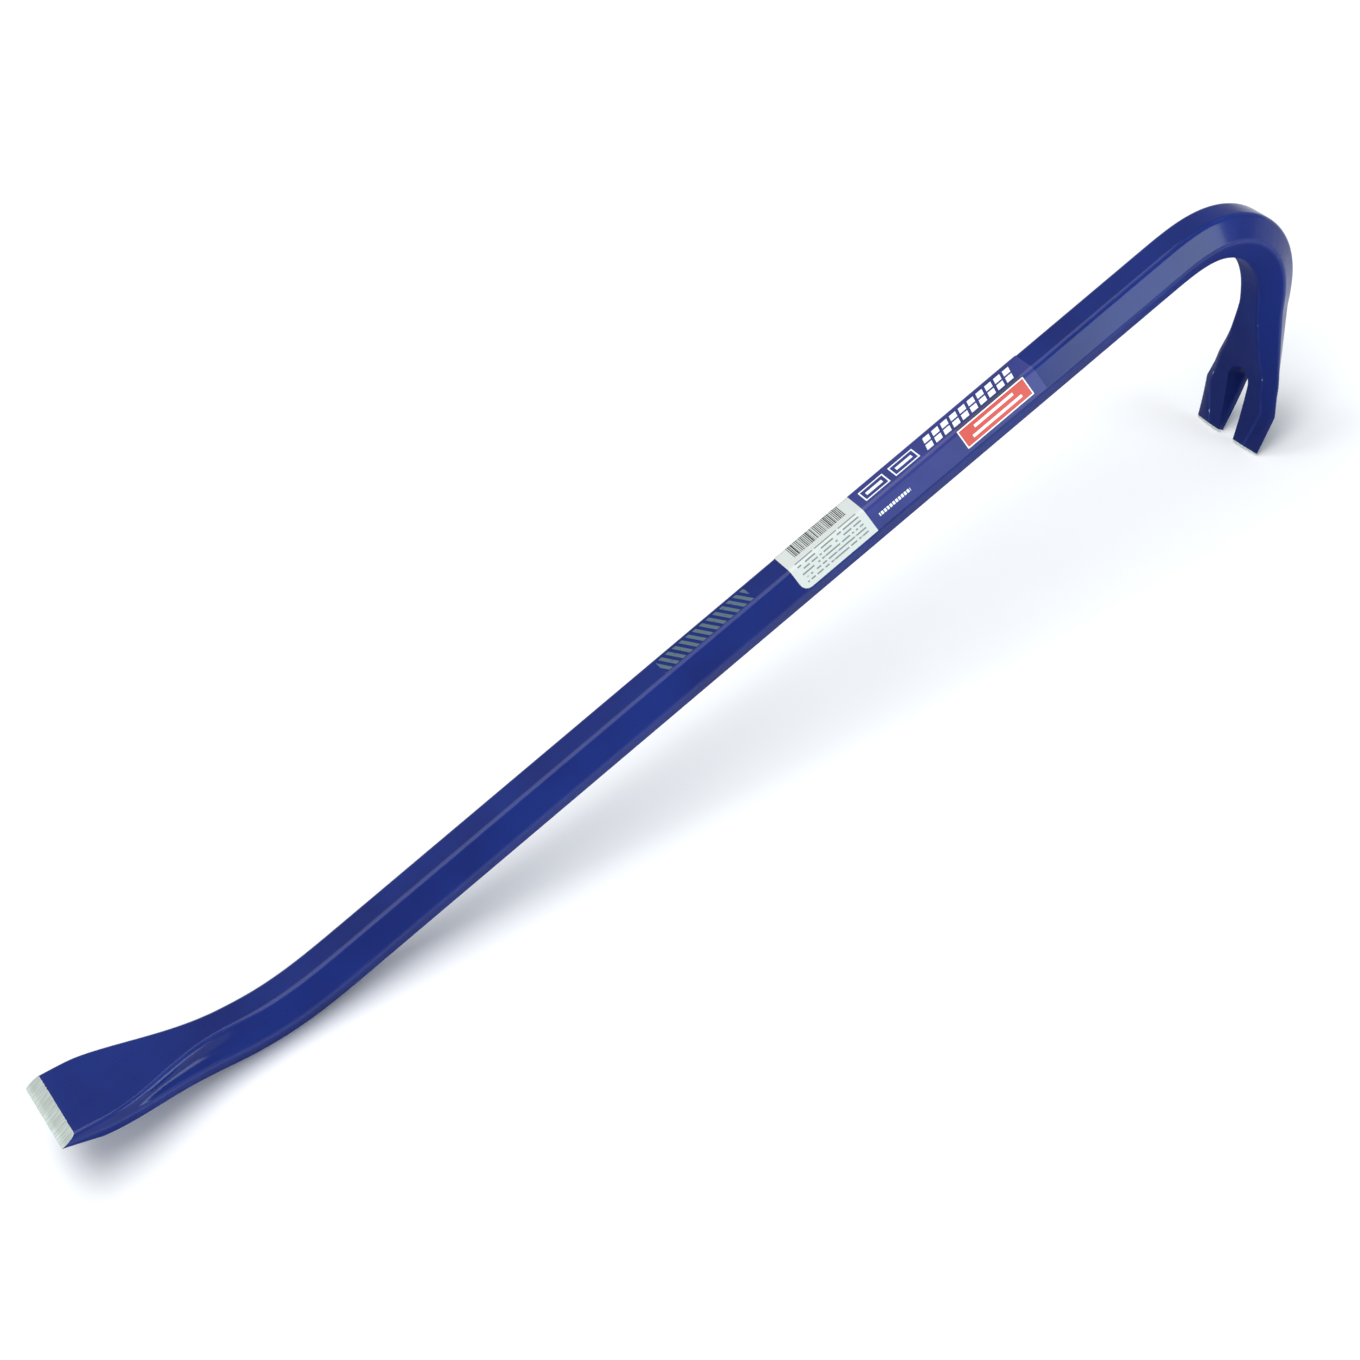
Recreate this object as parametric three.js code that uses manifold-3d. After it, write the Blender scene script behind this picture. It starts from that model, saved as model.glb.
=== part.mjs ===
// Gooseneck pry bar: one forging from hexagonal steel bar, with a printed film label round its shaft.
// Millimetres, +Z up. The bar stands on its claw tips and on the heel of its chisel, as it does on a bench,
// with the shaft in the XZ plane, the chisel at -X and the claw at +X. The origin is the middle of its base.
//
// The bar is drawn first in its own plane: x along the straight shaft, z across it, y across its width.
// "along" is the distance along the bar's centreline from the chisel's cutting edge.
import * as THREE from "three";
import { mergeVertices } from "three/addons/utils/BufferGeometryUtils.js";
import Module from "manifold-3d";

const { clamp, degToRad, lerp } = THREE.MathUtils;
const wasm = await Module();
wasm.setup();

const easeInOut = (u) => THREE.MathUtils.smoothstep(u, 0, 1);

// Driving dimensions.
const overallLength = 450; // parallel to the shaft, cutting edge to the outside of the gooseneck
const acrossFlats = 14.8; // of the hexagonal stock, two flats of which lie across the bend
const cornerRounding = 1.1; // how far the rounding of the stock's corners reaches along each flat
const pathStep = 0.25; // step of the centreline's integration
const ringSpacing = 2.6; // distance between sections where the bar bends or tapers
const roundingPoints = 3; // points on each rounded corner of a section
const mostRounding = 0.45; // of an edge of a section, that the rounding at one end of it may take

// Each end has a tip, a shoulder, which is its widest place, and a flare and a taper that run out into the
// stock. Distances are from the end's own tip. "flat" is the width of the flats, "side" the full width.
const chisel = {
  tip: { flat: 27, side: 27.6, thickness: 3.1 },
  shoulder: { flat: 27.2, side: 27.8, thickness: 6.8 },
  shoulderAt: 12,
  flareEnd: 57,
  flarePower: 1.25, // how quickly the flare falls away behind the shoulder
  flareEase: easeInOut,
  taperEnd: 56,
  taperEase: easeInOut,
  bevelLength: 4.2, // of the ground bevel, along the blade
  edgeLand: 0.5, // thickness left at the cutting edge
  bendAngle: 25, // away from the claw's side
  bendStart: 33,
  bendEnd: 105,
};

const claw = {
  tip: { flat: 16, side: 29.5, thickness: 1.4 },
  shoulder: { flat: 24.4, side: 33, thickness: 5.4 },
  shoulderAt: 14,
  flareEnd: 47,
  flarePower: 1.15,
  flareEase: (u) => u,
  taperEnd: 69,
  taperEase: (u) => Math.sin((Math.PI / 2) * u),
  curl: 12.5, // degrees that the claw goes on turning past the gooseneck
  length: 35.5, // past the gooseneck
};

const gooseneck = {
  angle: 122, // that the bar turns through before the claw
  length: 83, // of the bend, along the centreline
  softness: 0.38, // share of the bend over which the curvature builds up, and again dies away
};

const nailSlot = {
  mouthWidth: 5.9, // at the tips, on the outer face
  rootWidth: 4.1, // diameter of the rounded root, on the outer face
  depth: 22, // from the tips to the end of the root, on the outer face
  draft: 0.35, // how far each wall leans out towards the inner face, per mm of thickness
};

const label = {
  length: 95,
  thickness: 0.15,
  clearance: 0.05, // from the bar's flats
  flatsCovered: 4, // two that face the reader, the top one, and one behind it
  fromGooseneck: 47, // from the label's end to where the gooseneck starts to bend
};

// Sizes that follow from them.
const stock = {
  flat: acrossFlats / Math.sqrt(3) / 2, // half the width of one flat
  side: acrossFlats / Math.sqrt(3), // from the centre to a corner
  half: acrossFlats / 2,
};

// Share of a bend that is turned at u, from 0 to 1. The curvature rises and falls as a raised cosine over
// the share "soft" at each end and is constant between.
function turned(u, soft) {
  const t = clamp(u, 0, 1);
  const rise = (x) => x / 2 - (soft / (2 * Math.PI)) * Math.sin((Math.PI * x) / soft);
  if (t < soft) return rise(t) / (1 - soft);
  if (t > 1 - soft) return 1 - rise(1 - t) / (1 - soft);
  return (t - soft / 2) / (1 - soft);
}

const share = (x, from, to) => clamp((x - from) / (to - from), 0, 1);

// Angle of the centreline from +x towards +z, at a distance along the bar, when the shaft starts its
// gooseneck at neckStart.
function headingAt(along, neckStart) {
  const neckEnd = neckStart + gooseneck.length;
  const back = 1 - turned(share(along, chisel.bendStart, chisel.bendEnd), 0.5);
  const over = turned(share(along, neckStart, neckEnd), gooseneck.softness);
  const curl = share(along, neckEnd, neckEnd + claw.length);
  return degToRad(-chisel.bendAngle * back - gooseneck.angle * over - claw.curl * curl);
}

// The centreline as a list of points with their headings, one every pathStep.
function centreline(neckStart) {
  const length = neckStart + gooseneck.length + claw.length;
  const steps = Math.ceil(length / pathStep);
  const step = length / steps;
  const points = [];
  let x = 0;
  let z = 0;
  for (let i = 0; i <= steps; i++) {
    const heading = headingAt(i * step, neckStart);
    points.push({ x, z, heading });
    const ahead = headingAt((i + 0.5) * step, neckStart);
    x += Math.cos(ahead) * step;
    z += Math.sin(ahead) * step;
  }
  return { points, length, step };
}

// How far the bar reaches parallel to its shaft, from the cutting edge to the outside of the gooseneck.
function reachOf(path) {
  const first = path.points[0];
  const start = first.x - (chisel.tip.thickness / 2) * Math.abs(Math.sin(first.heading));
  const ends = path.points.map((p) => p.x - stock.half * Math.sin(p.heading));
  return Math.max(...ends) - start;
}

// Half the width of an end's flats or of its full width: straight to the shoulder, then the flare.
function halfWidth(end, which, stockWidth, distance) {
  const tip = end.tip[which] / 2;
  const shoulder = end.shoulder[which] / 2;
  if (distance < end.shoulderAt) return lerp(tip, shoulder, distance / end.shoulderAt);
  const left = end.flareEase(1 - share(distance, end.shoulderAt, end.flareEnd));
  return lerp(stockWidth, shoulder, left ** end.flarePower);
}

// Half an end's thickness, before the bevel and the slot are cut.
function halfThickness(end, distance) {
  const shoulder = end.shoulder.thickness / 2;
  if (distance < end.shoulderAt) return lerp(end.tip.thickness / 2, shoulder, distance / end.shoulderAt);
  return lerp(shoulder, stock.half, end.taperEase(share(distance, end.shoulderAt, end.taperEnd)));
}

// The section at a distance along the bar: half the width of its two flats, of its side corners, and half
// its thickness.
function sectionAt(along, length) {
  const fromTip = length - along;
  const end = along < fromTip ? chisel : claw;
  const distance = Math.min(along, fromTip);
  return {
    flat: halfWidth(end, "flat", stock.flat, distance),
    side: halfWidth(end, "side", stock.side, distance),
    half: halfThickness(end, distance),
  };
}

// A six-cornered section with its corners rounded, as points [y, z] from the +y side corner onwards.
function outline({ flat, side, half }, rounding = cornerRounding) {
  const corners = [
    [side, 0],
    [flat, half],
    [-flat, half],
    [-side, 0],
    [-flat, -half],
    [flat, -half],
  ].map(([y, z]) => new THREE.Vector2(y, z));
  return corners.flatMap((corner, i) => {
    const before = corners.at(i - 1);
    const after = corners[(i + 1) % corners.length];
    const cut = (other) => Math.min(rounding / corner.distanceTo(other), mostRounding);
    const from = corner.clone().lerp(before, cut(before));
    const to = corner.clone().lerp(after, cut(after));
    return new THREE.QuadraticBezierCurve(from, corner, to).getPoints(roundingPoints - 1);
  });
}

// Distances along the bar at which a section is drawn: close together in the ends and bends, and none
// between the ends of the straight shaft.
function ringDistances(length, neckStart) {
  const run = (from, to) => {
    const count = Math.ceil((to - from) / ringSpacing);
    return Array.from({ length: count + 1 }, (_, i) => lerp(from, to, i / count));
  };
  const shoulders = [chisel.shoulderAt, length - claw.shoulderAt];
  const all = [...run(0, chisel.bendEnd), ...run(neckStart, length)];
  return [...all.filter((a) => shoulders.every((s) => Math.abs(a - s) > ringSpacing / 2)), ...shoulders].sort(
    (a, b) => a - b,
  );
}

// The path whose bar has the stated overall length: the straight shaft takes what the ends leave.
function fittedPath() {
  const trial = chisel.bendEnd;
  const neckStart = trial + overallLength - reachOf(centreline(trial));
  return { ...centreline(neckStart), neckStart };
}

const path = fittedPath();

const pointAt = (along) => path.points[Math.round(along / path.step)];

// The point at a distance along the bar, "across" its centreline and "up" from it.
function placed(along, across, up) {
  const { x, z, heading } = pointAt(along);
  return new THREE.Vector3(x - up * Math.sin(heading), across, z + up * Math.cos(heading));
}

// The blank: a closed cylinder whose rings are moved onto the sections and whose sides onto their outlines.
function blankGeometry() {
  const rings = ringDistances(path.length, path.neckStart);
  const sides = 6 * roundingPoints;
  const geometry = new THREE.CylinderGeometry(1, 1, 1, sides, rings.length - 1);
  const outlines = rings.map((along) => outline(sectionAt(along, path.length)));
  const position = geometry.attributes.position;
  for (let i = 0; i < position.count; i++) {
    const ring = Math.round((0.5 - position.getY(i)) * (rings.length - 1));
    const onAxis = Math.hypot(position.getX(i), position.getZ(i)) < 0.5;
    const turn = -Math.atan2(position.getX(i), position.getZ(i)) / (2 * Math.PI);
    const corner = (Math.round(turn * sides) + sides) % sides;
    const { x: across, y: up } = onAxis ? new THREE.Vector2() : outlines[ring][corner];
    position.setXYZ(i, ...placed(rings[ring], across, up));
  }
  return geometry;
}

// The bar's own frame at a distance along it: x forward, y across, z up.
function frameAt(along) {
  const { heading } = pointAt(along);
  const forward = new THREE.Vector3(Math.cos(heading), 0, Math.sin(heading));
  const across = new THREE.Vector3(0, 1, 0);
  const up = new THREE.Vector3(-Math.sin(heading), 0, Math.cos(heading));
  return new THREE.Matrix4().makeBasis(forward, across, up).setPosition(placed(along, 0, 0));
}

// A closed geometry as a solid that can be cut, and a solid as a geometry again.
function solidOf(geometry) {
  const bare = new THREE.BufferGeometry().setIndex(geometry.index);
  bare.setAttribute("position", geometry.attributes.position);
  const merged = mergeVertices(bare, 1e-4);
  const vertProperties = new Float32Array(merged.attributes.position.array);
  const triVerts = new Uint32Array(merged.index.array);
  return new wasm.Manifold(new wasm.Mesh({ numProp: 3, vertProperties, triVerts }));
}

function geometryOf(solid) {
  const mesh = solid.getMesh();
  const geometry = new THREE.BufferGeometry();
  geometry.setAttribute("position", new THREE.BufferAttribute(mesh.vertProperties, 3));
  geometry.setIndex(new THREE.BufferAttribute(mesh.triVerts, 1));
  return geometry;
}

// Cutter for the ground bevel: the wedge over a plane that falls from the blade's upper face to the land at
// the cutting edge.
function bevelCutter() {
  const low = chisel.edgeLand - halfThickness(chisel, 0);
  const high = halfThickness(chisel, chisel.bevelLength);
  const slope = (high - low) / chisel.bevelLength;
  const past = 3; // how far the cutter runs past the steel
  const wedge = new THREE.Shape();
  wedge.moveTo(-past, low - slope * past);
  wedge.lineTo(chisel.bevelLength + past, high + slope * past);
  wedge.lineTo(-past, high + slope * past);
  wedge.closePath();
  const depth = 2 * chisel.shoulder.side;
  const geometry = new THREE.ExtrudeGeometry(wedge, { depth, bevelEnabled: false });
  geometry.translate(0, 0, -depth / 2).rotateX(Math.PI / 2);
  return geometry.applyMatrix4(frameAt(0));
}

// Cutter for the nail slot: a V with a round root, open at the tips, that widens all round as it goes
// through from the outer face to the inner one. Its outline is drawn where the root meets the outer face.
function nailSlotCutter() {
  const drawnAt = halfThickness(claw, nailSlot.depth);
  const draftTo = (up) => nailSlot.draft * (drawnAt - up);
  const root = nailSlot.rootWidth / 2;
  const centre = root - nailSlot.depth;
  const tipGap = nailSlot.mouthWidth / 2 - draftTo(claw.tip.thickness / 2);
  const past = nailSlot.depth / 2; // how far the cutter runs past the tips
  const mouth = root + ((tipGap - root) / -centre) * (past - centre);
  const v = new THREE.Shape();
  v.moveTo(past, -mouth);
  v.lineTo(past, mouth);
  v.lineTo(centre, root);
  v.absarc(centre, 0, root, Math.PI / 2, (3 * Math.PI) / 2, false);
  v.closePath();
  const below = stock.half; // how far the cutter reaches under the centreline, and past the outer face
  const above = 1;
  const geometry = new THREE.ExtrudeGeometry(v, { depth: below + drawnAt + above, bevelEnabled: false });
  geometry.translate(0, 0, -below);
  const position = geometry.attributes.position;
  for (let i = 0; i < position.count; i++) {
    const x = position.getX(i);
    const y = position.getY(i);
    const grown = draftTo(position.getZ(i));
    if (x < centre) position.setXY(i, centre + (x - centre) * (1 + grown / root), y * (1 + grown / root));
    else position.setY(i, y + Math.sign(y) * grown);
  }
  return geometry.applyMatrix4(frameAt(path.length));
}

// The forged bar: the blank with its bevel ground and its nail slot cut.
function forgedBar() {
  const cutters = [bevelCutter(), nailSlotCutter()];
  const solid = cutters.reduce((left, cutter) => left.subtract(solidOf(cutter)), solidOf(blankGeometry()));
  return geometryOf(solid);
}

// The film label: a thin band that follows the stock's outline at a small clearance.
function labelFilm() {
  const offsetOutline = (offset) => {
    const half = stock.half + offset;
    const side = (2 * half) / Math.sqrt(3);
    return outline({ flat: side / 2, side, half }, cornerRounding + offset * Math.tan(Math.PI / 6));
  };
  // from the lower edge of the near upper flat, over the top flat, to behind the bar
  const last = roundingPoints * 3;
  const first = last - roundingPoints * (label.flatsCovered - 1) - 1;
  const wrap = (points) => Array.from({ length: last - first + 1 }, (_, i) => points.at(first + i));
  const outer = wrap(offsetOutline(label.clearance + label.thickness));
  const inner = wrap(offsetOutline(label.clearance)).reverse();
  const band = new THREE.Shape([...outer, ...inner]);
  const geometry = new THREE.ExtrudeGeometry(band, { depth: label.length, bevelEnabled: false });
  const swap = new THREE.Matrix4().set(0, 0, 1, 0, 1, 0, 0, 0, 0, 1, 0, 0, 0, 0, 0, 1);
  const start = path.neckStart - label.fromGooseneck - label.length;
  return geometry.applyMatrix4(swap).applyMatrix4(frameAt(start));
}

// Pitch that lays the bar on its heel and its claw tips: the slope of the lower hull's longest edge.
function restingPitch(geometry) {
  const { array } = geometry.attributes.position;
  const points = Array.from({ length: array.length / 3 }, (_, i) => ({ x: array[3 * i], z: array[3 * i + 2] }));
  points.sort((a, b) => a.x - b.x || a.z - b.z);
  const hull = [];
  const turnsUp = (a, b, c) => (b.x - a.x) * (c.z - a.z) > (b.z - a.z) * (c.x - a.x);
  for (const p of points) {
    while (hull.length > 1 && !turnsUp(hull.at(-2), hull.at(-1), p)) hull.pop();
    hull.push(p);
  }
  const edges = hull.slice(1).map((to, i) => ({ x: to.x - hull[i].x, z: to.z - hull[i].z }));
  const longest = edges.reduce((best, edge) => (edge.x > best.x ? edge : best));
  return Math.atan2(longest.z, longest.x);
}

const materials = {
  bluePaint: new THREE.MeshStandardMaterial({ color: 0x1f2f7a, roughness: 0.35, metalness: 0.1 }),
  printedFilm: new THREE.MeshStandardMaterial({ color: 0x35429a, roughness: 0.45, metalness: 0 }),
};

const pieces = {
  forged_bar: new THREE.Mesh(forgedBar(), materials.bluePaint),
  label_film: new THREE.Mesh(labelFilm(), materials.printedFilm),
};

const pryBar = new THREE.Group();
for (const [name, mesh] of Object.entries(pieces)) {
  mesh.name = name;
  pryBar.add(mesh);
}
pryBar.rotation.y = restingPitch(pieces.forged_bar.geometry);
pryBar.updateMatrixWorld(true);
const box = new THREE.Box3().setFromObject(pryBar, true);
pryBar.position.set(-(box.min.x + box.max.x) / 2, -(box.min.y + box.max.y) / 2, -box.min.z);

export default pryBar;
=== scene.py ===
import math
import bpy
import bmesh
import numpy as np
from mathutils import Matrix, Vector


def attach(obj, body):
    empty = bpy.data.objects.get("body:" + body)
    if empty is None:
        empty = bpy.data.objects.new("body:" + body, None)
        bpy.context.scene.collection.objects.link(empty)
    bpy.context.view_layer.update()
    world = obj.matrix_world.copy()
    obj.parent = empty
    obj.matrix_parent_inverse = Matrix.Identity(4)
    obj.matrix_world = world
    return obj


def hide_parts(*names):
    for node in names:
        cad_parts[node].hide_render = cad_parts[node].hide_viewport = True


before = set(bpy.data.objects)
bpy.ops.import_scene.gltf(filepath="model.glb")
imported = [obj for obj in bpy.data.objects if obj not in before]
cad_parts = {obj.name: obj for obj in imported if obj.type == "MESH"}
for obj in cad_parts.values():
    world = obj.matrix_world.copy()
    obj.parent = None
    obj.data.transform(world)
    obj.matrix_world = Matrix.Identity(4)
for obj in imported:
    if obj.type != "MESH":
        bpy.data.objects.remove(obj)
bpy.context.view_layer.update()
mm = 0.001

# The forging, in millimetres. It is worked out in its own plane, x along the straight shaft and z across
# it, and "along" runs down its centreline from the cutting edge.
bar = {
    "overallLength": 450,
    "acrossFlats": 14.8,
    "cornerRounding": 1.1,  # reach of a corner's rounding along each flat
    "mostRounding": 0.45,  # share of a flat that a rounding may take
    "pathStep": 0.25,
    "bevelRings": 33,  # sections along each stretch of the bar, from the cutting edge to the claw's tips
    "shoulderRings": 9,
    "flareRings": 85,
    "shaftRings": 75,
    "neckRings": 100,
    "slotRings": 12,
    "tipRings": 18,
    "arcPoints": 5,  # on each rounded corner
    "topSteps": (0, 0.2, 0.42, 0.62, 0.8, 0.92, 0.98),  # points on half of the upper flat
    "sideSteps": (0.03, 0.12, 0.26, 0.42, 0.58, 0.74, 0.88, 0.97),  # points on a side flat
}
chisel = {
    "tip": {"flat": 27.0, "side": 27.6, "thickness": 3.1},
    "shoulder": {"flat": 27.2, "side": 27.8, "thickness": 6.8},
    "shoulderAt": 12,
    "softened": 6,  # to each side of the shoulder
    "flareEnd": 57,
    "flarePower": 1.25,
    "taperEnd": 56,
    "bevelLength": 4.2,
    "edgeLand": 0.5,  # thickness left at the cutting edge
    "bendAngle": 25,
    "bendStart": 33,
    "bendEnd": 105,
    "bendSoftness": 0.5,
    "underSoftness": 0.1,  # how much of the shoulder's softening its under side gets
    "hollow": 0.95,  # depth of the hollow that forging leaves in each upper side facet
    "hollowFrom": (20, 34),  # where it deepens
    "hollowTo": (44, 62),  # where it runs out
}
claw = {
    "tip": {"flat": 16, "side": 29.5, "thickness": 1.4},
    "shoulder": {"flat": 24.4, "side": 33, "thickness": 5.4},
    "shoulderAt": 14,
    "softened": 5,
    "flareEnd": 47,
    "flarePower": 1.15,
    "taperEnd": 69,
    "curl": 12.5,  # degrees past the gooseneck
    "length": 35.5,
    "bareRim": 0.5,  # of bare steel round the tips
    "rimWithin": 5,  # from the tips, where the bare rim is looked for
}
gooseneck = {"angle": 122, "length": 83, "softness": 0.38}
nailSlot = {
    "mouthWidth": 5.9,  # at the tips, on the outer face
    "rootWidth": 4.1,
    "depth": 22,  # on the outer face
    "draft": 0.35,  # lean of each wall towards the inner face
    "rootRings": 12,
    "levels": 7,  # points from the outer face to the inner one
    "squareAt": 32,  # from the tips, where the sections are square to the bar again
}
stockHalf = bar["acrossFlats"] / 2
hair = 1e-5  # places nearer than this are one, in mm


def share(x, start, end):
    # how far x has come from start to end, from 0 to 1
    return np.clip((x - start) / (end - start), 0, 1)


def ease(u):
    # 3u^2 - 2u^3
    return u * u * (3 - 2 * u)


def turned(u, soft):
    # how much of a bend is turned at u: the curvature is a plateau with a raised cosine over "soft" at each
    # end
    t = np.clip(u, 0, 1)
    rise = lambda x: x / 2 - soft / (2 * np.pi) * np.sin(np.pi * x / soft)
    early = rise(t) / (1 - soft)
    late = 1 - rise(1 - t) / (1 - soft)
    return np.where(t < soft, early, np.where(t > 1 - soft, late, (t - soft / 2) / (1 - soft)))


def headingAt(along, neckStart):
    # minus what is left of the chisel's bend, minus what is turned of the gooseneck and of the claw's curl
    neckEnd = neckStart + gooseneck["length"]
    back = 1 - turned(share(along, chisel["bendStart"], chisel["bendEnd"]), chisel["bendSoftness"])
    over = turned(share(along, neckStart, neckEnd), gooseneck["softness"])
    curl = share(along, neckEnd, neckEnd + claw["length"])
    return -np.radians(chisel["bendAngle"] * back + gooseneck["angle"] * over + claw["curl"] * curl)


def centreline(neckStart):
    # running sums of the cosine and the sine of the heading
    length = neckStart + gooseneck["length"] + claw["length"]
    steps = math.ceil(length / bar["pathStep"])
    step = length / steps
    ahead = headingAt((np.arange(steps) + 0.5) * step, neckStart)
    along = np.arange(steps + 1) * step
    return {
        "along": along,
        "x": np.append(0, np.cumsum(np.cos(ahead) * step)),
        "z": np.append(0, np.cumsum(np.sin(ahead) * step)),
        "heading": headingAt(along, neckStart),
        "length": length,
        "neckStart": neckStart,
    }


def fittedPath():
    # the straight shaft takes what the two ends leave of the overall length
    trial = centreline(chisel["bendEnd"])
    start = trial["x"][0] - chisel["tip"]["thickness"] / 2 * abs(math.sin(trial["heading"][0]))
    reach = (trial["x"] - stockHalf * np.sin(trial["heading"])).max() - start
    return centreline(chisel["bendEnd"] + bar["overallLength"] - reach)


path = fittedPath()


def placed(along, across, up):
    # the centreline's point at "along", then "across" it and "up" from it, square to its heading
    heading, x, z = (np.interp(along, path["along"], path[k]) for k in ("heading", "x", "z"))
    return np.stack([x - up * np.sin(heading), across + 0 * x, z + up * np.cos(heading)], -1)


def halfWidth(end, which, stockWidth, distance, flare):
    # straight from the tip to the shoulder, then the stock's width plus a power of what is left of the flare
    tip, shoulder = end["tip"][which] / 2, end["shoulder"][which] / 2
    left = flare(1 - share(distance, end["shoulderAt"], end["flareEnd"])) ** end["flarePower"]
    front = tip + (shoulder - tip) * distance / end["shoulderAt"]
    return np.where(distance < end["shoulderAt"], front, stockWidth + (shoulder - stockWidth) * left)


def halfThickness(end, distance, rise, softness=1):
    # straight to the shoulder, then the taper; the mean of nine places round about rounds the shoulder off
    tip, shoulder = end["tip"]["thickness"] / 2, end["shoulder"]["thickness"] / 2
    near = np.asarray(distance)[..., None] + np.linspace(-1, 1, 9) * end["softened"] * softness
    front = tip + (shoulder - tip) * near / end["shoulderAt"]
    back = shoulder + (stockHalf - shoulder) * rise(share(near, end["shoulderAt"], end["taperEnd"]))
    return np.where(near < end["shoulderAt"], front, back).mean(-1)


def sineRise(u):
    # the sine of a quarter turn's share
    return np.sin(np.pi / 2 * u)


def sectionsAt(along):
    # half the width of the flats, half the width over the side corners, half the thickness
    fromTip = path["length"] - along
    isClaw = fromTip < along
    flat, side = stockHalf / math.sqrt(3), 2 * stockHalf / math.sqrt(3)
    plain = lambda u: u
    widths = [
        np.where(isClaw, halfWidth(claw, k, w, fromTip, plain), halfWidth(chisel, k, w, along, ease))
        for k, w in (("flat", flat), ("side", side))
    ]
    half = np.where(isClaw, halfThickness(claw, fromTip, sineRise), halfThickness(chisel, along, ease))
    return *widths, half


def halfOutline(flat, side, half):
    # the +y half of a six-cornered section from the middle of its upper flat to the middle of its lower one;
    # each corner is a parabola from "reach" before it to "reach" after it. Also gives the distance to the
    # nearest corner, and where the upper flat ends
    none = np.zeros_like(flat)
    corners = np.stack([none, half, flat, half, side, none, flat, -half, none, -half], -1).reshape(-1, 5, 2)
    edges = np.diff(corners, axis=1)
    lengths = np.linalg.norm(edges, axis=-1, keepdims=True)
    whole = lengths * np.array([2, 1, 1, 2])[:, None]
    reach = np.minimum(bar["cornerRounding"], bar["mostRounding"] * whole)
    before = corners[:, 1:4] - (edges / lengths * reach)[:, :3]
    after = corners[:, 1:4] + (edges / lengths * reach)[:, 1:]
    s = np.linspace(0, 1, bar["arcPoints"])[:, None]
    first, middle, last = (1 - s) ** 2, 2 * s * (1 - s), s**2
    arc = lambda i: first * before[:, i, None] + middle * corners[:, i + 1, None] + last * after[:, i, None]
    flatTo = lambda a, b, steps: a[:, None] + (b - a)[:, None] * np.array(steps)[:, None]
    back = [1 - t for t in reversed(bar["topSteps"])]
    sides = [flatTo(after[:, i], before[:, i + 1], bar["sideSteps"]) for i in (0, 1)]
    upper = flatTo(corners[:, 0], before[:, 0], bar["topSteps"])
    under = flatTo(after[:, 2], corners[:, 4], back)
    points = np.concatenate([upper, arc(0), sides[0], arc(1), sides[1], arc(2), under], 1)
    toCorner = np.linalg.norm(points[:, :, None] - corners[:, None, 1:4], axis=-1).min(-1)
    return points, toCorner, before[:, 0, 0]


def slotRoot():
    # radius of the round root and its centre's distance from the tips, on the outer face
    return nailSlot["rootWidth"] / 2, nailSlot["depth"] - nailSlot["rootWidth"] / 2


def slotGrown(up):
    # how much wider the slot is all round at height "up" than where its root meets the outer face: the draft
    # times the fall from there
    drawnAt = float(halfThickness(claw, np.array(nailSlot["depth"]), sineRise))
    return nailSlot["draft"] * (drawnAt - up)


def slotWarp(fromTip, up):
    # where a ring lies: inside the slot's root the rings spread as it grows, and behind it they ease back to
    # square
    root, centre = slotRoot()
    inRoot = share(fromTip, centre, centre + root)
    back = ease(share(fromTip, centre + root, nailSlot["squareAt"]))
    return fromTip + slotGrown(up) * inRoot * (1 - back)


def slotGap(fromTip, up):
    # half the slot's width: a straight V, then a circle, both grown by the draft
    root, centre = slotRoot()
    grown = slotGrown(up)
    tipGap = nailSlot["mouthWidth"] / 2 - slotGrown(claw["tip"]["thickness"] / 2)
    straight = tipGap + (root - tipGap) * fromTip / centre + grown
    inCircle = (root + grown) * np.sqrt(np.clip(1 - ((fromTip - centre) / root) ** 2, 0, 1))
    closed = centre + root - hair  # just before the root's end, so that rounding can't leave a slit
    return np.where(fromTip < centre, straight, np.where(fromTip < closed, inCircle, 0))


def ringsOfBar():
    # distances along the bar: close in the ends and bends, wide on the shaft, and round the slot's root they
    # follow the sine of even angles
    root, centre = slotRoot()
    end = path["length"]
    angles = np.linspace(0, np.pi / 2, nailSlot["rootRings"])
    runs = [
        np.linspace(0, chisel["bevelLength"], bar["bevelRings"]),
        np.linspace(chisel["bevelLength"], chisel["shoulderAt"], bar["shoulderRings"]),
        np.linspace(chisel["shoulderAt"], chisel["bendEnd"], bar["flareRings"]),
        np.linspace(chisel["bendEnd"], path["neckStart"], bar["shaftRings"]),
        np.linspace(path["neckStart"], end - centre - root, bar["neckRings"]),
        end - centre - root * np.sin(angles),
        end - np.linspace(centre, claw["shoulderAt"], bar["slotRings"]),
        end - np.linspace(claw["shoulderAt"], 0, bar["tipRings"]),
    ]
    return np.unique(np.round(np.concatenate(runs), 6))


def tilted(points, pitch):
    # x and z turned by the pitch in the bar's plane
    x, z = points[..., 0], points[..., 2]
    return x * math.cos(pitch) + z * math.sin(pitch), z * math.cos(pitch) - x * math.sin(pitch)


def restedPose(points):
    # the pitch and the shift that lay the heel and the claw tips on the bench: the pitch is the slope
    # between the lowest points of the bar's two halves, found again until it is level
    pitch = 0.0
    for _ in range(8):
        x, z = tilted(points, pitch)
        left = x < (x.min() + x.max()) / 2
        i, j = np.where(left)[0][z[left].argmin()], np.where(~left)[0][z[~left].argmin()]
        pitch += math.atan2(z[j] - z[i], x[j] - x[i])
    return pitch, Vector((-(x.min() + x.max()) / 2, 0, -z.min()))


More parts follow.
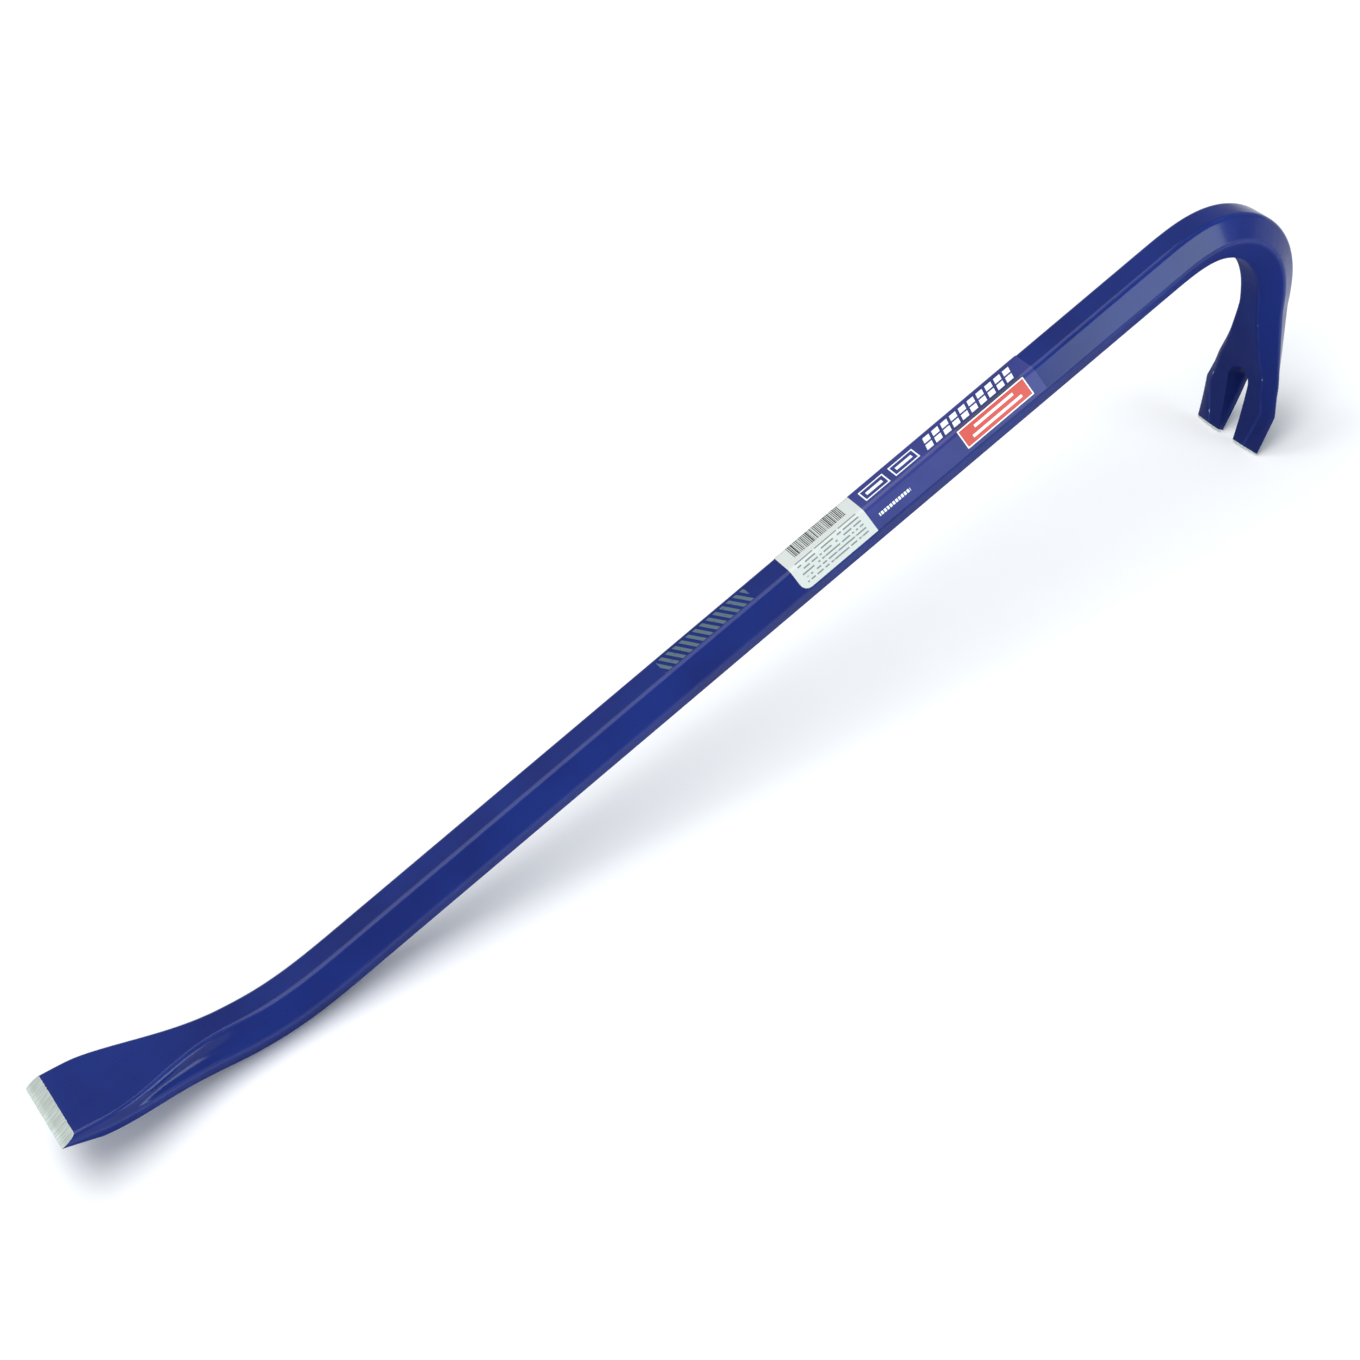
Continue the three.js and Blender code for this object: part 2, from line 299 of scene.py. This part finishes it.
def grid(rows, cols):
    # quads of a grid of rows by cols points
    first = (np.arange(rows - 1)[:, None] * cols + np.arange(cols - 1)).ravel()
    return np.stack([first, first + 1, first + cols + 1, first + cols], -1)


def welded(patches):
    # joins grids of points (rows, cols, 3) at their shared points, with their values; a quad with one
    # repeated corner becomes a triangle, and one that shrinks further goes
    points, values, faces, start = [], [], [], 0
    for co, value in patches:
        faces.append(grid(*co.shape[:2]) + start)
        points.append(co.reshape(-1, 3))
        values.append(value.reshape(-1, value.shape[-1]))
        start += co.shape[0] * co.shape[1]
    points, values, faces = (np.concatenate(a) for a in (points, values, faces))
    places = np.round(points / hair).astype(np.int64)
    _, first, same = np.unique(places, axis=0, return_index=True, return_inverse=True)
    faces = same.ravel()[faces]
    repeated = faces == np.roll(faces, 1, axis=1)
    folded = (faces[:, 0] == faces[:, 2]) | (faces[:, 1] == faces[:, 3])
    whole = ~repeated.any(1) & ~folded
    threeLeft = (repeated.sum(1) == 1) & ~folded
    triangles = faces[threeLeft][~repeated[threeLeft]].reshape(-1, 3)
    return points[first], values[first], faces[whole].tolist() + triangles.tolist()


def newPiece(name, points, polygons, material, sharpAngle):
    mesh = bpy.data.meshes.new(name)
    mesh.from_pydata(points.tolist(), [], polygons)
    work = bmesh.new()
    work.from_mesh(mesh)
    bmesh.ops.recalc_face_normals(work, faces=work.faces)
    if work.calc_volume(signed=True) < 0:
        bmesh.ops.reverse_faces(work, faces=work.faces)
    work.to_mesh(mesh)
    work.free()
    mesh.polygons.foreach_set("use_smooth", np.ones(len(mesh.polygons), bool))
    mesh.set_sharp_from_angle(angle=math.radians(sharpAngle))
    mesh.materials.append(material)
    piece = bpy.data.objects.new(name, mesh)
    bpy.context.scene.collection.objects.link(piece)
    return piece


def addValues(piece, names, values):
    # one value for each name on every point, for the finish to read
    for name, column in zip(names, values.T):
        attribute = piece.data.attributes.new(name, "FLOAT", "POINT")
        attribute.data.foreach_set("value", column.astype(np.float32))


def toBench(points, pose):
    # out of the bar's plane into the frame, in metres
    pitch, shift = pose
    x, z = tilted(points, pitch)
    return (np.stack([x, points[..., 1], z], -1) + np.array(shift)) * mm


def hollowed(along, across, up):
    # presses the chisel's upper side facets in, square to themselves, by a sine across the facet times a
    # rise and a fall along it
    first = len(bar["topSteps"]) + bar["arcPoints"]
    facet = np.s_[:, first : first + len(bar["sideSteps"])]
    depth = ease(share(along, *chisel["hollowFrom"])) * (1 - ease(share(along, *chisel["hollowTo"])))
    depth = chisel["hollow"] * depth[:, None] * np.sin(np.pi * np.array(bar["sideSteps"]))
    run = across[facet][:, -1:] - across[facet][:, :1]
    fall = up[facet][:, :1] - up[facet][:, -1:]
    slant = np.hypot(run, fall)
    across, up = across.copy(), up.copy()
    across[facet] -= depth * fall / slant
    up[facet] -= depth * run / slant
    return across, up


def barPatches():
    along = ringsOfBar()
    fromTip = path["length"] - along
    outline, toCorner, flatEnd = halfOutline(*sectionsAt(along))
    across, up = hollowed(along, outline[..., 0], outline[..., 1])

    # the chisel's under side keeps a crisp shoulder
    softened = halfThickness(chisel, along, ease)
    crisp = halfThickness(chisel, along, ease, chisel["underSoftness"]) / softened
    up = np.where((up < 0) & (along[:, None] < chisel["taperEnd"]), up * crisp[:, None], up)

    # the ground bevel takes everything above a plane that falls to the land at the cutting edge
    low = chisel["edgeLand"] - chisel["tip"]["thickness"] / 2
    high = float(halfThickness(chisel, np.array(chisel["bevelLength"]), ease))
    plane = (low + (high - low) * along / chisel["bevelLength"])[:, None]
    ground = up - plane
    beyond = (along[:, None] < chisel["bendStart"]) & (up > plane)
    widest = np.where(up <= plane, across, 0).max(1, keepdims=True)
    across = np.where(beyond, np.minimum(across, widest), across)
    up = np.where(beyond, plane, up)

    # the flats are squeezed outwards to leave the slot open
    count = len(bar["topSteps"])
    gap = slotGap(fromTip[:, None], up)
    inner = np.zeros(across.shape, bool)
    inner[:, :count] = inner[:, -count:] = True
    across = np.where(inner, gap + across * (1 - gap / flatEnd[:, None]), across)
    warped = slotWarp(fromTip[:, None], up)
    tipRim = claw["bareRim"] - fromTip[:, None] + 0 * up
    ground = np.where(fromTip[:, None] < claw["rimWithin"], tipRim, ground)
    values = lambda g, c, a, y, u: np.stack([g, c, a + 0 * g, y, u], -1)
    skin = placed(path["length"] - warped, across, up)
    skinValues = values(ground, toCorner, along[:, None], across, up)

    # the slot's wall, from the upper edge down to the lower one
    root, centre = slotRoot()
    slotted = np.where(fromTip <= centre + root + hair)[0]
    t = np.linspace(0, 1, nailSlot["levels"])
    wallUp = up[slotted, :1] * (1 - t) + up[slotted, -1:] * t
    wallFrom = slotWarp(fromTip[slotted, None], wallUp)
    wallGap = slotGap(fromTip[slotted, None], wallUp)
    wall = placed(path["length"] - wallFrom, wallGap, wallUp)
    edge = np.minimum(wallUp[:, :1] - wallUp, wallUp - wallUp[:, -1:])
    wallRim = claw["bareRim"] - fromTip[slotted, None] + 0 * wallUp
    wallValues = values(wallRim, edge, along[slotted, None], wallGap, wallUp)

    # the two end faces of bare steel, each a grid between the upper and the lower half of its outline
    middle = (outline.shape[1] - 1) // 2
    caps = []
    for ring in (0, -1):
        top, under = skin[ring, : middle + 1], skin[ring, ::-1][: middle + 1]
        face = top[:, None] * (1 - t[:, None]) + under[:, None] * t[:, None]
        bareSteel = np.ones(face.shape[:2])
        level = up[ring, : middle + 1, None] * (1 - t) + up[ring, ::-1][: middle + 1, None] * t
        caps.append((face, values(bareSteel, bareSteel * 0, along[ring] * bareSteel, face[..., 1], level)))
    patches = [(skin, skinValues), (wall, wallValues), *caps]
    mirrored = [(co[:, ::-1] * [1, -1, 1], v[:, ::-1] * [1, 1, 1, -1, 1]) for co, v in patches]
    return patches + mirrored


barValues = ("ground", "toCorner", "along", "across", "up")


def makeBar(material):
    points, values, polygons = welded(barPatches())
    pose = restedPose(points)
    piece = newPiece("forged_hex_bar", toBench(points, pose), polygons, material, 32)
    addValues(piece, barValues, values)
    print("bar", len(points), "points, pitch", round(math.degrees(pose[0]), 3))
    return piece, pose


# The printed label, in millimetres: u along it from the chisel's end, v round the bar from the near side
# corner.
label = {
    "length": 95,
    "fromGooseneck": 47,
    "thickness": 0.15,
    "clearance": 0.05,
    "cornerRadius": 2.6,  # at the chisel's end
    "cornerShare": 0.1,  # of the length, that the corner's finer steps take
    "cornerSteps": 14,
    "lengthSteps": 96,
}
labelValues = ("printU", "printV", "printFace")


def girthOutline(offset):
    # the stock's outline at a small offset, from the near side corner up over the top and down behind, with
    # the distance round it; the near half is the far one mirrored
    one = np.array([stockHalf + offset])
    points, _, _ = halfOutline(one / math.sqrt(3), 2 * one / math.sqrt(3), one)
    half = points[0]
    sideCorner = (half.shape[0] - 1) // 2
    lowerFlat = half.shape[0] - len(bar["topSteps"]) - bar["arcPoints"]
    near = half[: sideCorner - bar["arcPoints"] // 2 + 1] * [-1, 1]
    far = half[: lowerFlat + 1]
    points = np.concatenate([near[::-1], far[1:]])
    steps = np.linalg.norm(np.diff(points, axis=0), axis=1)
    return points, np.append(0, np.cumsum(steps)) + bar["cornerRounding"]


def filmSheet(offset):
    # straight along the shaft; the chisel's end starts later near the two long edges, by a quarter circle
    points, v = girthOutline(offset)
    radius = label["cornerRadius"]
    fromEdge = np.minimum(v - v[0], v[-1] - v)
    late = radius - np.sqrt(np.clip(radius**2 - np.clip(radius - fromEdge, 0, None) ** 2, 0, None))
    fine = np.linspace(0, label["cornerShare"], label["cornerSteps"], endpoint=False)
    t = np.append(fine, np.linspace(label["cornerShare"], 1, label["lengthSteps"]))
    u = late + (label["length"] - late) * t[:, None]
    start = path["neckStart"] - label["fromGooseneck"] - label["length"]
    co = placed(start + u, points[:, 0], points[:, 1])
    return co, np.stack([u, v + 0 * u, 0 * u + (offset > label["clearance"])], -1)


def makeLabel(material, pose):
    # outer face, inner face turned over, and the four narrow edges between them
    outer, outerUv = filmSheet(label["clearance"] + label["thickness"])
    inner, innerUv = filmSheet(label["clearance"])
    patches = [(outer, outerUv), (inner[:, ::-1], innerUv[:, ::-1])]
    for pick in (np.s_[:, 0], np.s_[:, -1], np.s_[0], np.s_[-1]):
        patches.append((np.stack([outer[pick], inner[pick]]), np.stack([outerUv[pick], innerUv[pick]])))
    points, values, polygons = welded(patches)
    piece = newPiece("printed_label", toBench(points, pose), polygons, material, 50)
    addValues(piece, labelValues, values)
    print("label", len(points), "points")
    return piece


class Wire:
    # a socket that takes part in arithmetic: each operator adds its Math node
    def __init__(self, tree, socket):
        self.tree, self.socket = tree, socket

    def math(self, operation, *others):
        sockets = dict(enumerate((self, *others)))
        return addNode(self.tree, "ShaderNodeMath", {"operation": operation}, sockets)

    def __add__(self, other):
        return self.math("ADD", other)

    def __sub__(self, other):
        return self.math("SUBTRACT", other)

    def __rsub__(self, other):
        return (self * -1) + other

    def __mul__(self, other):
        return self.math("MULTIPLY", other)

    def __truediv__(self, other):
        return self.math("DIVIDE", other)

    def __mod__(self, other):
        return self.math("FLOORED_MODULO", other)

    def __lt__(self, other):
        return self.math("LESS_THAN", other)

    def __gt__(self, other):
        return self.math("GREATER_THAN", other)

    def __abs__(self):
        return self.math("ABSOLUTE")

    __radd__ = __add__
    __rmul__ = __mul__

    def most(self, other):
        return self.math("MAXIMUM", other)

    def floor(self):
        return self.math("FLOOR")

    def smooth(self, start, end, low=0.0, high=1.0):
        # low up to start, high from end, eased between
        settings = {"interpolation_type": "SMOOTHSTEP"}
        sockets = {0: self, 1: start, 2: end, 3: low, 4: high}
        return addNode(self.tree, "ShaderNodeMapRange", settings, sockets)


def addNode(tree, kind, settings=None, sockets=None, out=0):
    # a node with its settings first, then its sockets by name or place, as values or as wires
    node = tree.nodes.new(kind)
    for key, value in (settings or {}).items():
        setattr(node, key, value)
    for key, value in (sockets or {}).items():
        if isinstance(value, Wire):
            tree.links.new(value.socket, node.inputs[key])
        else:
            node.inputs[key].default_value = value
    return Wire(tree, node.outputs[out])


def mixColours(tree, amount, first, second):
    # sockets 0, 6 and 7 of a Mix node are its factor and its two colours
    return addNode(tree, "ShaderNodeMix", {"data_type": "RGBA"}, {0: amount, 6: first, 7: second}, 2)


def value(tree, name):
    return addNode(tree, "ShaderNodeAttribute", {"attribute_name": name}, out=2)


def noise(tree, scale, detail=2.0, stretch=None):
    # object coordinates in metres; stretch multiplies them first
    place = addNode(tree, "ShaderNodeTexCoord", out=3)
    if stretch:
        place = addNode(tree, "ShaderNodeMapping", None, {0: place, 3: stretch})
    sockets = {0: place, "Scale": scale, "Detail": detail}
    return addNode(tree, "ShaderNodeTexNoise", None, sockets)


def bump(tree, height, strength, distance, below=None):
    sockets = {"Strength": strength, "Distance": distance, "Height": height}
    if below:
        sockets["Normal"] = below
    return addNode(tree, "ShaderNodeBump", None, sockets)


def newMaterial(name, build):
    material = bpy.data.materials.new(name)
    material.use_nodes = True
    tree = material.node_tree
    tree.nodes.clear()
    surface = build(tree)
    tree.links.new(surface.socket, tree.nodes.new("ShaderNodeOutputMaterial").inputs["Surface"])
    return material


def colour(red, green, blue):
    # screen values 0 to 255 as linear light
    linear = lambda c: c / 12.92 if c <= 0.04045 else ((c + 0.055) / 1.055) ** 2.4
    return *(linear(c / 255) for c in (red, green, blue)), 1.0


enamel = {
    "blue": colour(16, 38, 114),
    "deep": colour(13, 31, 101),
    "clawShade": colour(14, 26, 80),  # painted shade, darkening the enamel towards the claw's tips
    "thin": colour(42, 62, 140),  # lighter along the ridges: enamel worn thin there, and a painted highlight
    "roughness": 0.3,
    "dullness": 0.3,  # added on the lower side
    "coat": 0.3,
    "coatRoughness": 0.14,
    "sheen": 0.1,
    "peelScale": 420,  # scales of the noises, per metre
    "edgeScale": 2200,
    "cloudScale": 38,
    "forgedScale": 150,
    "patchScale": 260,
    "chipScale": 520,
    "forgedFade": 30,  # length over which the forged ends pass into the drawn shaft, in mm
    "clawShadeFrom": 30,  # from the gooseneck's start, in mm
    "clawShadeTo": 110,
    "ridgeReach": 0.75,  # how far from a corner the lighter ridge colour reaches, worn enamel and painted highlight, in mm
    "chipReach": 0.35,  # how far from a corner it may be chipped, in mm
    "chipsAbove": 0.665,  # of the noise that chips it
}
steel = {
    "light": colour(226, 236, 229),
    "dark": colour(196, 207, 200),
    "metallic": 0.7,
    "grinding": 2600,  # scale of the grinding marks
    "fraying": 0.25,  # how unevenly the enamel ends, in mm
}
mark = {  # a plain band of slanted stripes printed on the upper flat, in mm along the bar and across it
    "colour": colour(88, 110, 116),
    "start": 219,
    "length": 34,
    "halfWidth": 2.9,
    "pitch": 2.6,
    "slant": 0.5,
    "stripe": 0.5,  # share of the pitch
    "within": 0.2,  # below the upper flat
    "rubScale": 900,
    "rubbed": 0.6,  # how much of the print is rubbed off where it is thin
}


def printedMark(tree, along, across, up):
    # stripes inside a rectangle on the upper flat, rubbed thin in places
    stripeAt = ((along + across * mark["slant"] - mark["start"]) / mark["pitch"]) % 1.0
    inLength = (along > mark["start"]) * (along < mark["start"] + mark["length"])
    inMark = inLength * (abs(across) < mark["halfWidth"])
    onFlat = up > stockHalf - mark["within"]
    rubbed = noise(tree, mark["rubScale"], 3).smooth(0.62, 0.7)
    return inMark * (stripeAt < mark["stripe"]) * onFlat * (1 - rubbed * mark["rubbed"])


def enamelledSteel(tree):
    ground, toCorner, along, across, up = (value(tree, name) for name in barValues)
    fine, coarse = noise(tree, enamel["peelScale"], 3), noise(tree, enamel["edgeScale"], 2)
    cloudy = noise(tree, enamel["cloudScale"], 3)
    hammered = noise(tree, enamel["forgedScale"], 1)

    # 1 on the forged ends, 0 on the drawn shaft
    neckStart = path["neckStart"]
    chiselEnd = along.smooth(chisel["bendEnd"] - enamel["forgedFade"], chisel["bendEnd"], 1, 0)
    forged = chiselEnd.most(along.smooth(neckStart, neckStart + enamel["forgedFade"]))
    patchy = noise(tree, enamel["patchScale"], 3).smooth(0.35, 0.62)
    # lighter enamel along the corners: partly worn thin, partly a painted highlight along the ridges
    thin = toCorner.smooth(0.15, enamel["ridgeReach"], 1, 0) * (0.4 + patchy * 0.6)
    under = up.smooth(-1.2, 0.3, 1, 0)  # the lower side, which has gone dull
    bare = (ground + (coarse - 0.5) * steel["fraying"]).smooth(-0.03, 0.03)
    chips = noise(tree, enamel["chipScale"], 4).smooth(enamel["chipsAbove"], enamel["chipsAbove"] + 0.015)
    bare = bare.most(toCorner.smooth(0.1, enamel["chipReach"], 1, 0) * chips * forged)

    paint = mixColours(tree, cloudy.smooth(0.3, 0.7), enamel["deep"], enamel["blue"])
    # painted shade: the enamel darkens from the gooseneck towards the claw's tips
    clawShade = along.smooth(neckStart + enamel["clawShadeFrom"], neckStart + enamel["clawShadeTo"])
    paint = mixColours(tree, clawShade * 0.6, paint, enamel["clawShade"])
    paint = mixColours(tree, thin * 0.4, paint, enamel["thin"])
    printed = printedMark(tree, along, across, up)
    paint = mixColours(tree, printed * 0.9, paint, mark["colour"])

    scratches = noise(tree, steel["grinding"], 2, (0.05, 1, 0.05))
    metal = mixColours(tree, scratches.smooth(0.3, 0.7), steel["dark"], steel["light"])
    roughness = enamel["roughness"] + (fine - 0.5) * 0.1 + (hammered - 0.5) * forged * 0.12
    roughness = roughness + bare * 0.14 + printed * 0.1 + under * enamel["dullness"]

    # orange peel in the enamel, the hammer's work under it, and grinding marks on the bare steel
    peel = bump(tree, fine * (1 - bare), 0.05, 0.00015)
    dents = bump(tree, hammered * forged, 0.3, 0.0006, peel)
    brushed = bump(tree, scratches * bare, 0.25, 0.0001, dents)
    return addNode(tree, "ShaderNodeBsdfPrincipled", None, {
        "Base Color": mixColours(tree, bare, paint, metal),
        "Roughness": roughness,
        "Metallic": bare * steel["metallic"],
        "Normal": brushed,
        "Coat Weight": (1 - bare) * (1 - under) * enamel["coat"],
        "Coat Roughness": enamel["coatRoughness"],
        "Specular IOR Level": enamel["sheen"],
    })


printing = {  # areas are u from, u to, v from, v to
    "field": colour(29, 38, 114),
    "fieldLight": colour(38, 48, 126),
    "panel": colour(204, 210, 206),
    "white": colour(238, 242, 240),
    "navy": colour(18, 22, 78),
    "red": colour(204, 74, 64),
    "grey": colour(106, 112, 116),
    "ink": colour(22, 24, 30),
    "panelEnd": 28.4,
    "bars": (4, 24, 11.8, 19),
    "barsPerMm": 1.9,
    "rows": (2.5, 26, 1.9, 10.6),
    "rowsPerMm": 0.75,
    "wordsPerMm": 1.3,
    "badges": ((31.2, 40.6, 10.6, 15.2), (42.8, 52.2, 10.6, 15.2)),
    "badgeLine": 0.45,
    "title": (55, 90, 10.4, 15.4),
    "titleSlant": 0.35,
    "titlePitch": 3.5,
    "titleBlock": 0.7,  # share of the pitch
    "titleGapAt": 12.9,  # v between its two rows
    "titleGap": 0.35,
    "redPanel": (65.2, 90.4, 2.7, 8.2),
    "strip": (65.2, 90.4, 8.7, 9.9),
    "code": (31.5, 43.5, 4.0, 5.0),
    "roughness": 0.34,
}


def box(u, v, area, grow=0.0):
    # 1 inside a rectangle (u from, u to, v from, v to), made bigger by grow
    left, right, low, high = area
    return (u > left - grow) * (u < right + grow) * (v > low - grow) * (v < high + grow)


def printedFilm(tree):
    u, v, face = (value(tree, name) for name in labelValues)
    p = printing
    fibres, cloudy = noise(tree, 1500, 3), noise(tree, 45, 3)
    base = mixColours(tree, cloudy.smooth(0.3, 0.7), p["field"], p["fieldLight"])

    # white data panel, with plain bars near the top corner and rows of grey dashes under them
    base = mixColours(tree, u < p["panelEnd"], base, p["panel"])
    barAt = u * p["barsPerMm"]
    drawn = {"W": barAt.floor() * 7.3, "Scale": 1.0}
    barWidth = addNode(tree, "ShaderNodeTexNoise", {"noise_dimensions": "1D"}, drawn)
    bars = box(u, v, p["bars"]) * (barAt % 1.0 < barWidth * 1.25 - 0.15)
    base = mixColours(tree, bars, base, p["ink"])
    rowAt = v * p["rowsPerMm"]
    wordPlace = {0: (u * p["wordsPerMm"]).floor(), 1: rowAt.floor() * 3.7}
    wordAt = addNode(tree, "ShaderNodeCombineXYZ", None, wordPlace)
    words = addNode(tree, "ShaderNodeTexNoise", {"noise_dimensions": "2D"}, {0: wordAt, "Scale": 1.7})
    rows = box(u, v, p["rows"]) * (rowAt % 1.0 < 0.36) * words.smooth(0.42, 0.44)
    base = mixColours(tree, rows * 0.85, base, p["grey"])

    # two outlined badges, each with a plain bar in it
    for area in p["badges"]:
        outline = box(u, v, area) - box(u, v, area, -p["badgeLine"])
        left, right, low, high = area
        filled = box(u, v, (left + 1.6, right - 1.6, low + 1.7, high - 1.7))
        base = mixColours(tree, outline.most(filled), base, p["white"])

    # two rows of slanted white blocks
    left, right, low, high = p["title"]
    slanted = u - (v - low) * p["titleSlant"]
    blocks = ((slanted - left) / p["titlePitch"]) % 1.0 < p["titleBlock"]
    title = box(slanted, v, p["title"]) * blocks * (abs(v - p["titleGapAt"]) > p["titleGap"])
    base = mixColours(tree, title, base, p["white"])

    # red panel with a white border and two plain bars, the navy strip along it, and a row of dashes
    left, right, low, high = p["redPanel"]
    base = mixColours(tree, box(u, v, p["redPanel"], 0.4), base, p["white"])
    base = mixColours(tree, box(u, v, p["redPanel"]), base, p["red"])
    lower = box(u, v, (left + 3, right - 3, low + 1.2, low + 2.1))
    upper = box(u, v, (left + 5, right - 5, high - 2.1, high - 1.2))
    base = mixColours(tree, lower.most(upper), base, p["white"])
    base = mixColours(tree, box(u, v, p["strip"]), base, p["navy"])
    code = box(u, v, p["code"]) * ((u * 0.9) % 1.0 < 0.7)
    base = mixColours(tree, code, base, p["white"])

    # the film's cut edge is white
    base = mixColours(tree, face.smooth(0.4, 0.9, 1, 0), base, p["white"])
    creased = bump(tree, noise(tree, 90, 2), 0.12, 0.0004, bump(tree, fibres, 0.05, 0.0001))
    return addNode(tree, "ShaderNodeBsdfPrincipled", None, {
        "Base Color": base,
        "Roughness": p["roughness"] + (fibres - 0.5) * 0.12,
        "Normal": creased,
        "Coat Weight": 0.12,
        "Coat Roughness": 0.2,
        "Specular IOR Level": 0.35,
    })


view = {  # metres and degrees, in the frame
    "place": (-0.2219, -0.5524, 0.5884),
    "azimuth": 21.2,
    "elevation": 43.02,
    "roll": -16.69,
    "lens": 73.13,
}


def makeCamera():
    # looks from "place" along the azimuth, from +Y towards +X, and down by the elevation, then rolls
    camera = bpy.data.objects.new("camera", bpy.data.cameras.new("camera"))
    bpy.context.scene.collection.objects.link(camera)
    camera.data.lens, camera.data.sensor_width = view["lens"], 36
    camera.data.clip_start = 0.01
    turn = Matrix.Rotation(math.radians(-view["azimuth"]), 4, "Z")
    tilt = Matrix.Rotation(math.radians(90 - view["elevation"]), 4, "X")
    roll = Matrix.Rotation(math.radians(view["roll"]), 4, "Z")
    camera.matrix_world = Matrix.Translation(view["place"]) @ turn @ tilt @ roll
    bpy.context.scene.camera = camera


stage = {
    "halfSize": 6.0,
    "rows": 3,
    "dark": (0.93, 0.94, 0.95, 1),
    "light": (0.96, 0.96, 0.96, 1),
    "cloudScale": 40,
    "roughness": 0.75,
    "air": (0.95, 0.97, 1, 1),
    "airStrength": 0.46,
}


def paleFloor(tree):
    base = mixColours(tree, noise(tree, stage["cloudScale"], 3), stage["dark"], stage["light"])
    sockets = {"Base Color": base, "Roughness": stage["roughness"]}
    return addNode(tree, "ShaderNodeBsdfPrincipled", None, sockets)


def makeStage():
    rows = stage["rows"]
    t = np.linspace(-stage["halfSize"], stage["halfSize"], rows)
    points = np.stack([*np.meshgrid(t, t), np.zeros((rows, rows))], -1).reshape(-1, 3)
    mesh = bpy.data.meshes.new("floor")
    mesh.from_pydata(points.tolist(), [], grid(rows, rows).tolist())
    mesh.materials.append(newMaterial("pale floor", paleFloor))
    floor = bpy.data.objects.new("floor", mesh)
    bpy.context.scene.collection.objects.link(floor)


white = (1, 1, 1)
coolWhite = (0.82, 0.97, 1)
lights = {  # name: place, aim, size, watts, colour
    "overhead": ((-0.3, 0.1, 1.9), (0, 0, 0), (2.4, 1.4), 31, white),
    "window": ((0.72, -1.15, 0.36), (0.15, 0, 0.07), (0.62, 0.66), 8, coolWhite),
    "fill": ((-1.9, -1.0, 1.0), (0, 0, 0), (1.6, 1.6), 9, white),
}


def makeLights():
    for name, (place, aim, size, watts, shade) in lights.items():
        lamp = bpy.data.objects.new(name, bpy.data.lights.new(name, "AREA"))
        lamp.data.shape, lamp.data.size, lamp.data.size_y = "RECTANGLE", *size
        lamp.data.energy = watts
        lamp.data.color = shade
        lamp.location = place
        lamp.rotation_euler = (Vector(aim) - Vector(place)).to_track_quat("-Z", "Y").to_euler()
        bpy.context.scene.collection.objects.link(lamp)
    world = bpy.data.worlds.new("studio")
    world.use_nodes = True
    air = world.node_tree.nodes["Background"]
    air.inputs["Color"].default_value = stage["air"]
    air.inputs["Strength"].default_value = stage["airStrength"]
    bpy.context.scene.world = world


makeCamera()
makeStage()
makeLights()
bpy.context.scene.view_settings.view_transform = "Standard"
print("stage ready")

forged, pose = makeBar(newMaterial("enamelled steel", enamelledSteel))
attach(forged, "root")
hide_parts("forged_bar")

film = makeLabel(newMaterial("printed film", printedFilm), pose)
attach(film, "root")
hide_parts("label_film")

bpy.context.view_layer.update()
